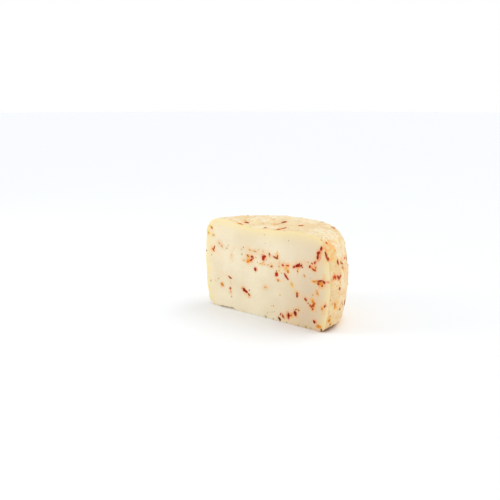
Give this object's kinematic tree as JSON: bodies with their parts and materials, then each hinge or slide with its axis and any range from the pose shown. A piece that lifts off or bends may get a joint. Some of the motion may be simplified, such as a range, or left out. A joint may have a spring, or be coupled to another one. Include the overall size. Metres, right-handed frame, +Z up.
{
  "type": "half wheel of chili pecorino cheese",
  "caption": "Half of a small round sheep's-milk cheese with soft shoulders, cut upright through its middle to show pale paste with chili flakes.",
  "frame": {"origin": "on the base, at the middle of the base of the bounding box, half a wheel radius behind the cut", "axes": "+X along the cut, -Y out of the cut face, +Y towards the rounded rind, +Z up from the base"},
  "size_m": [0.1554, 0.0784, 0.0879],
  "materials": {
    "paste": "satin ivory paste, faintly moist, a little yellower towards the rind",
    "chili_red": "oily red chili skin",
    "chili_brown": "dark dried chili",
    "chili_orange": "orange chili flesh and seed"
  },
  "bodies": {
    "root": {"half_wheel": "paste"}
  },
  "joints": []
}
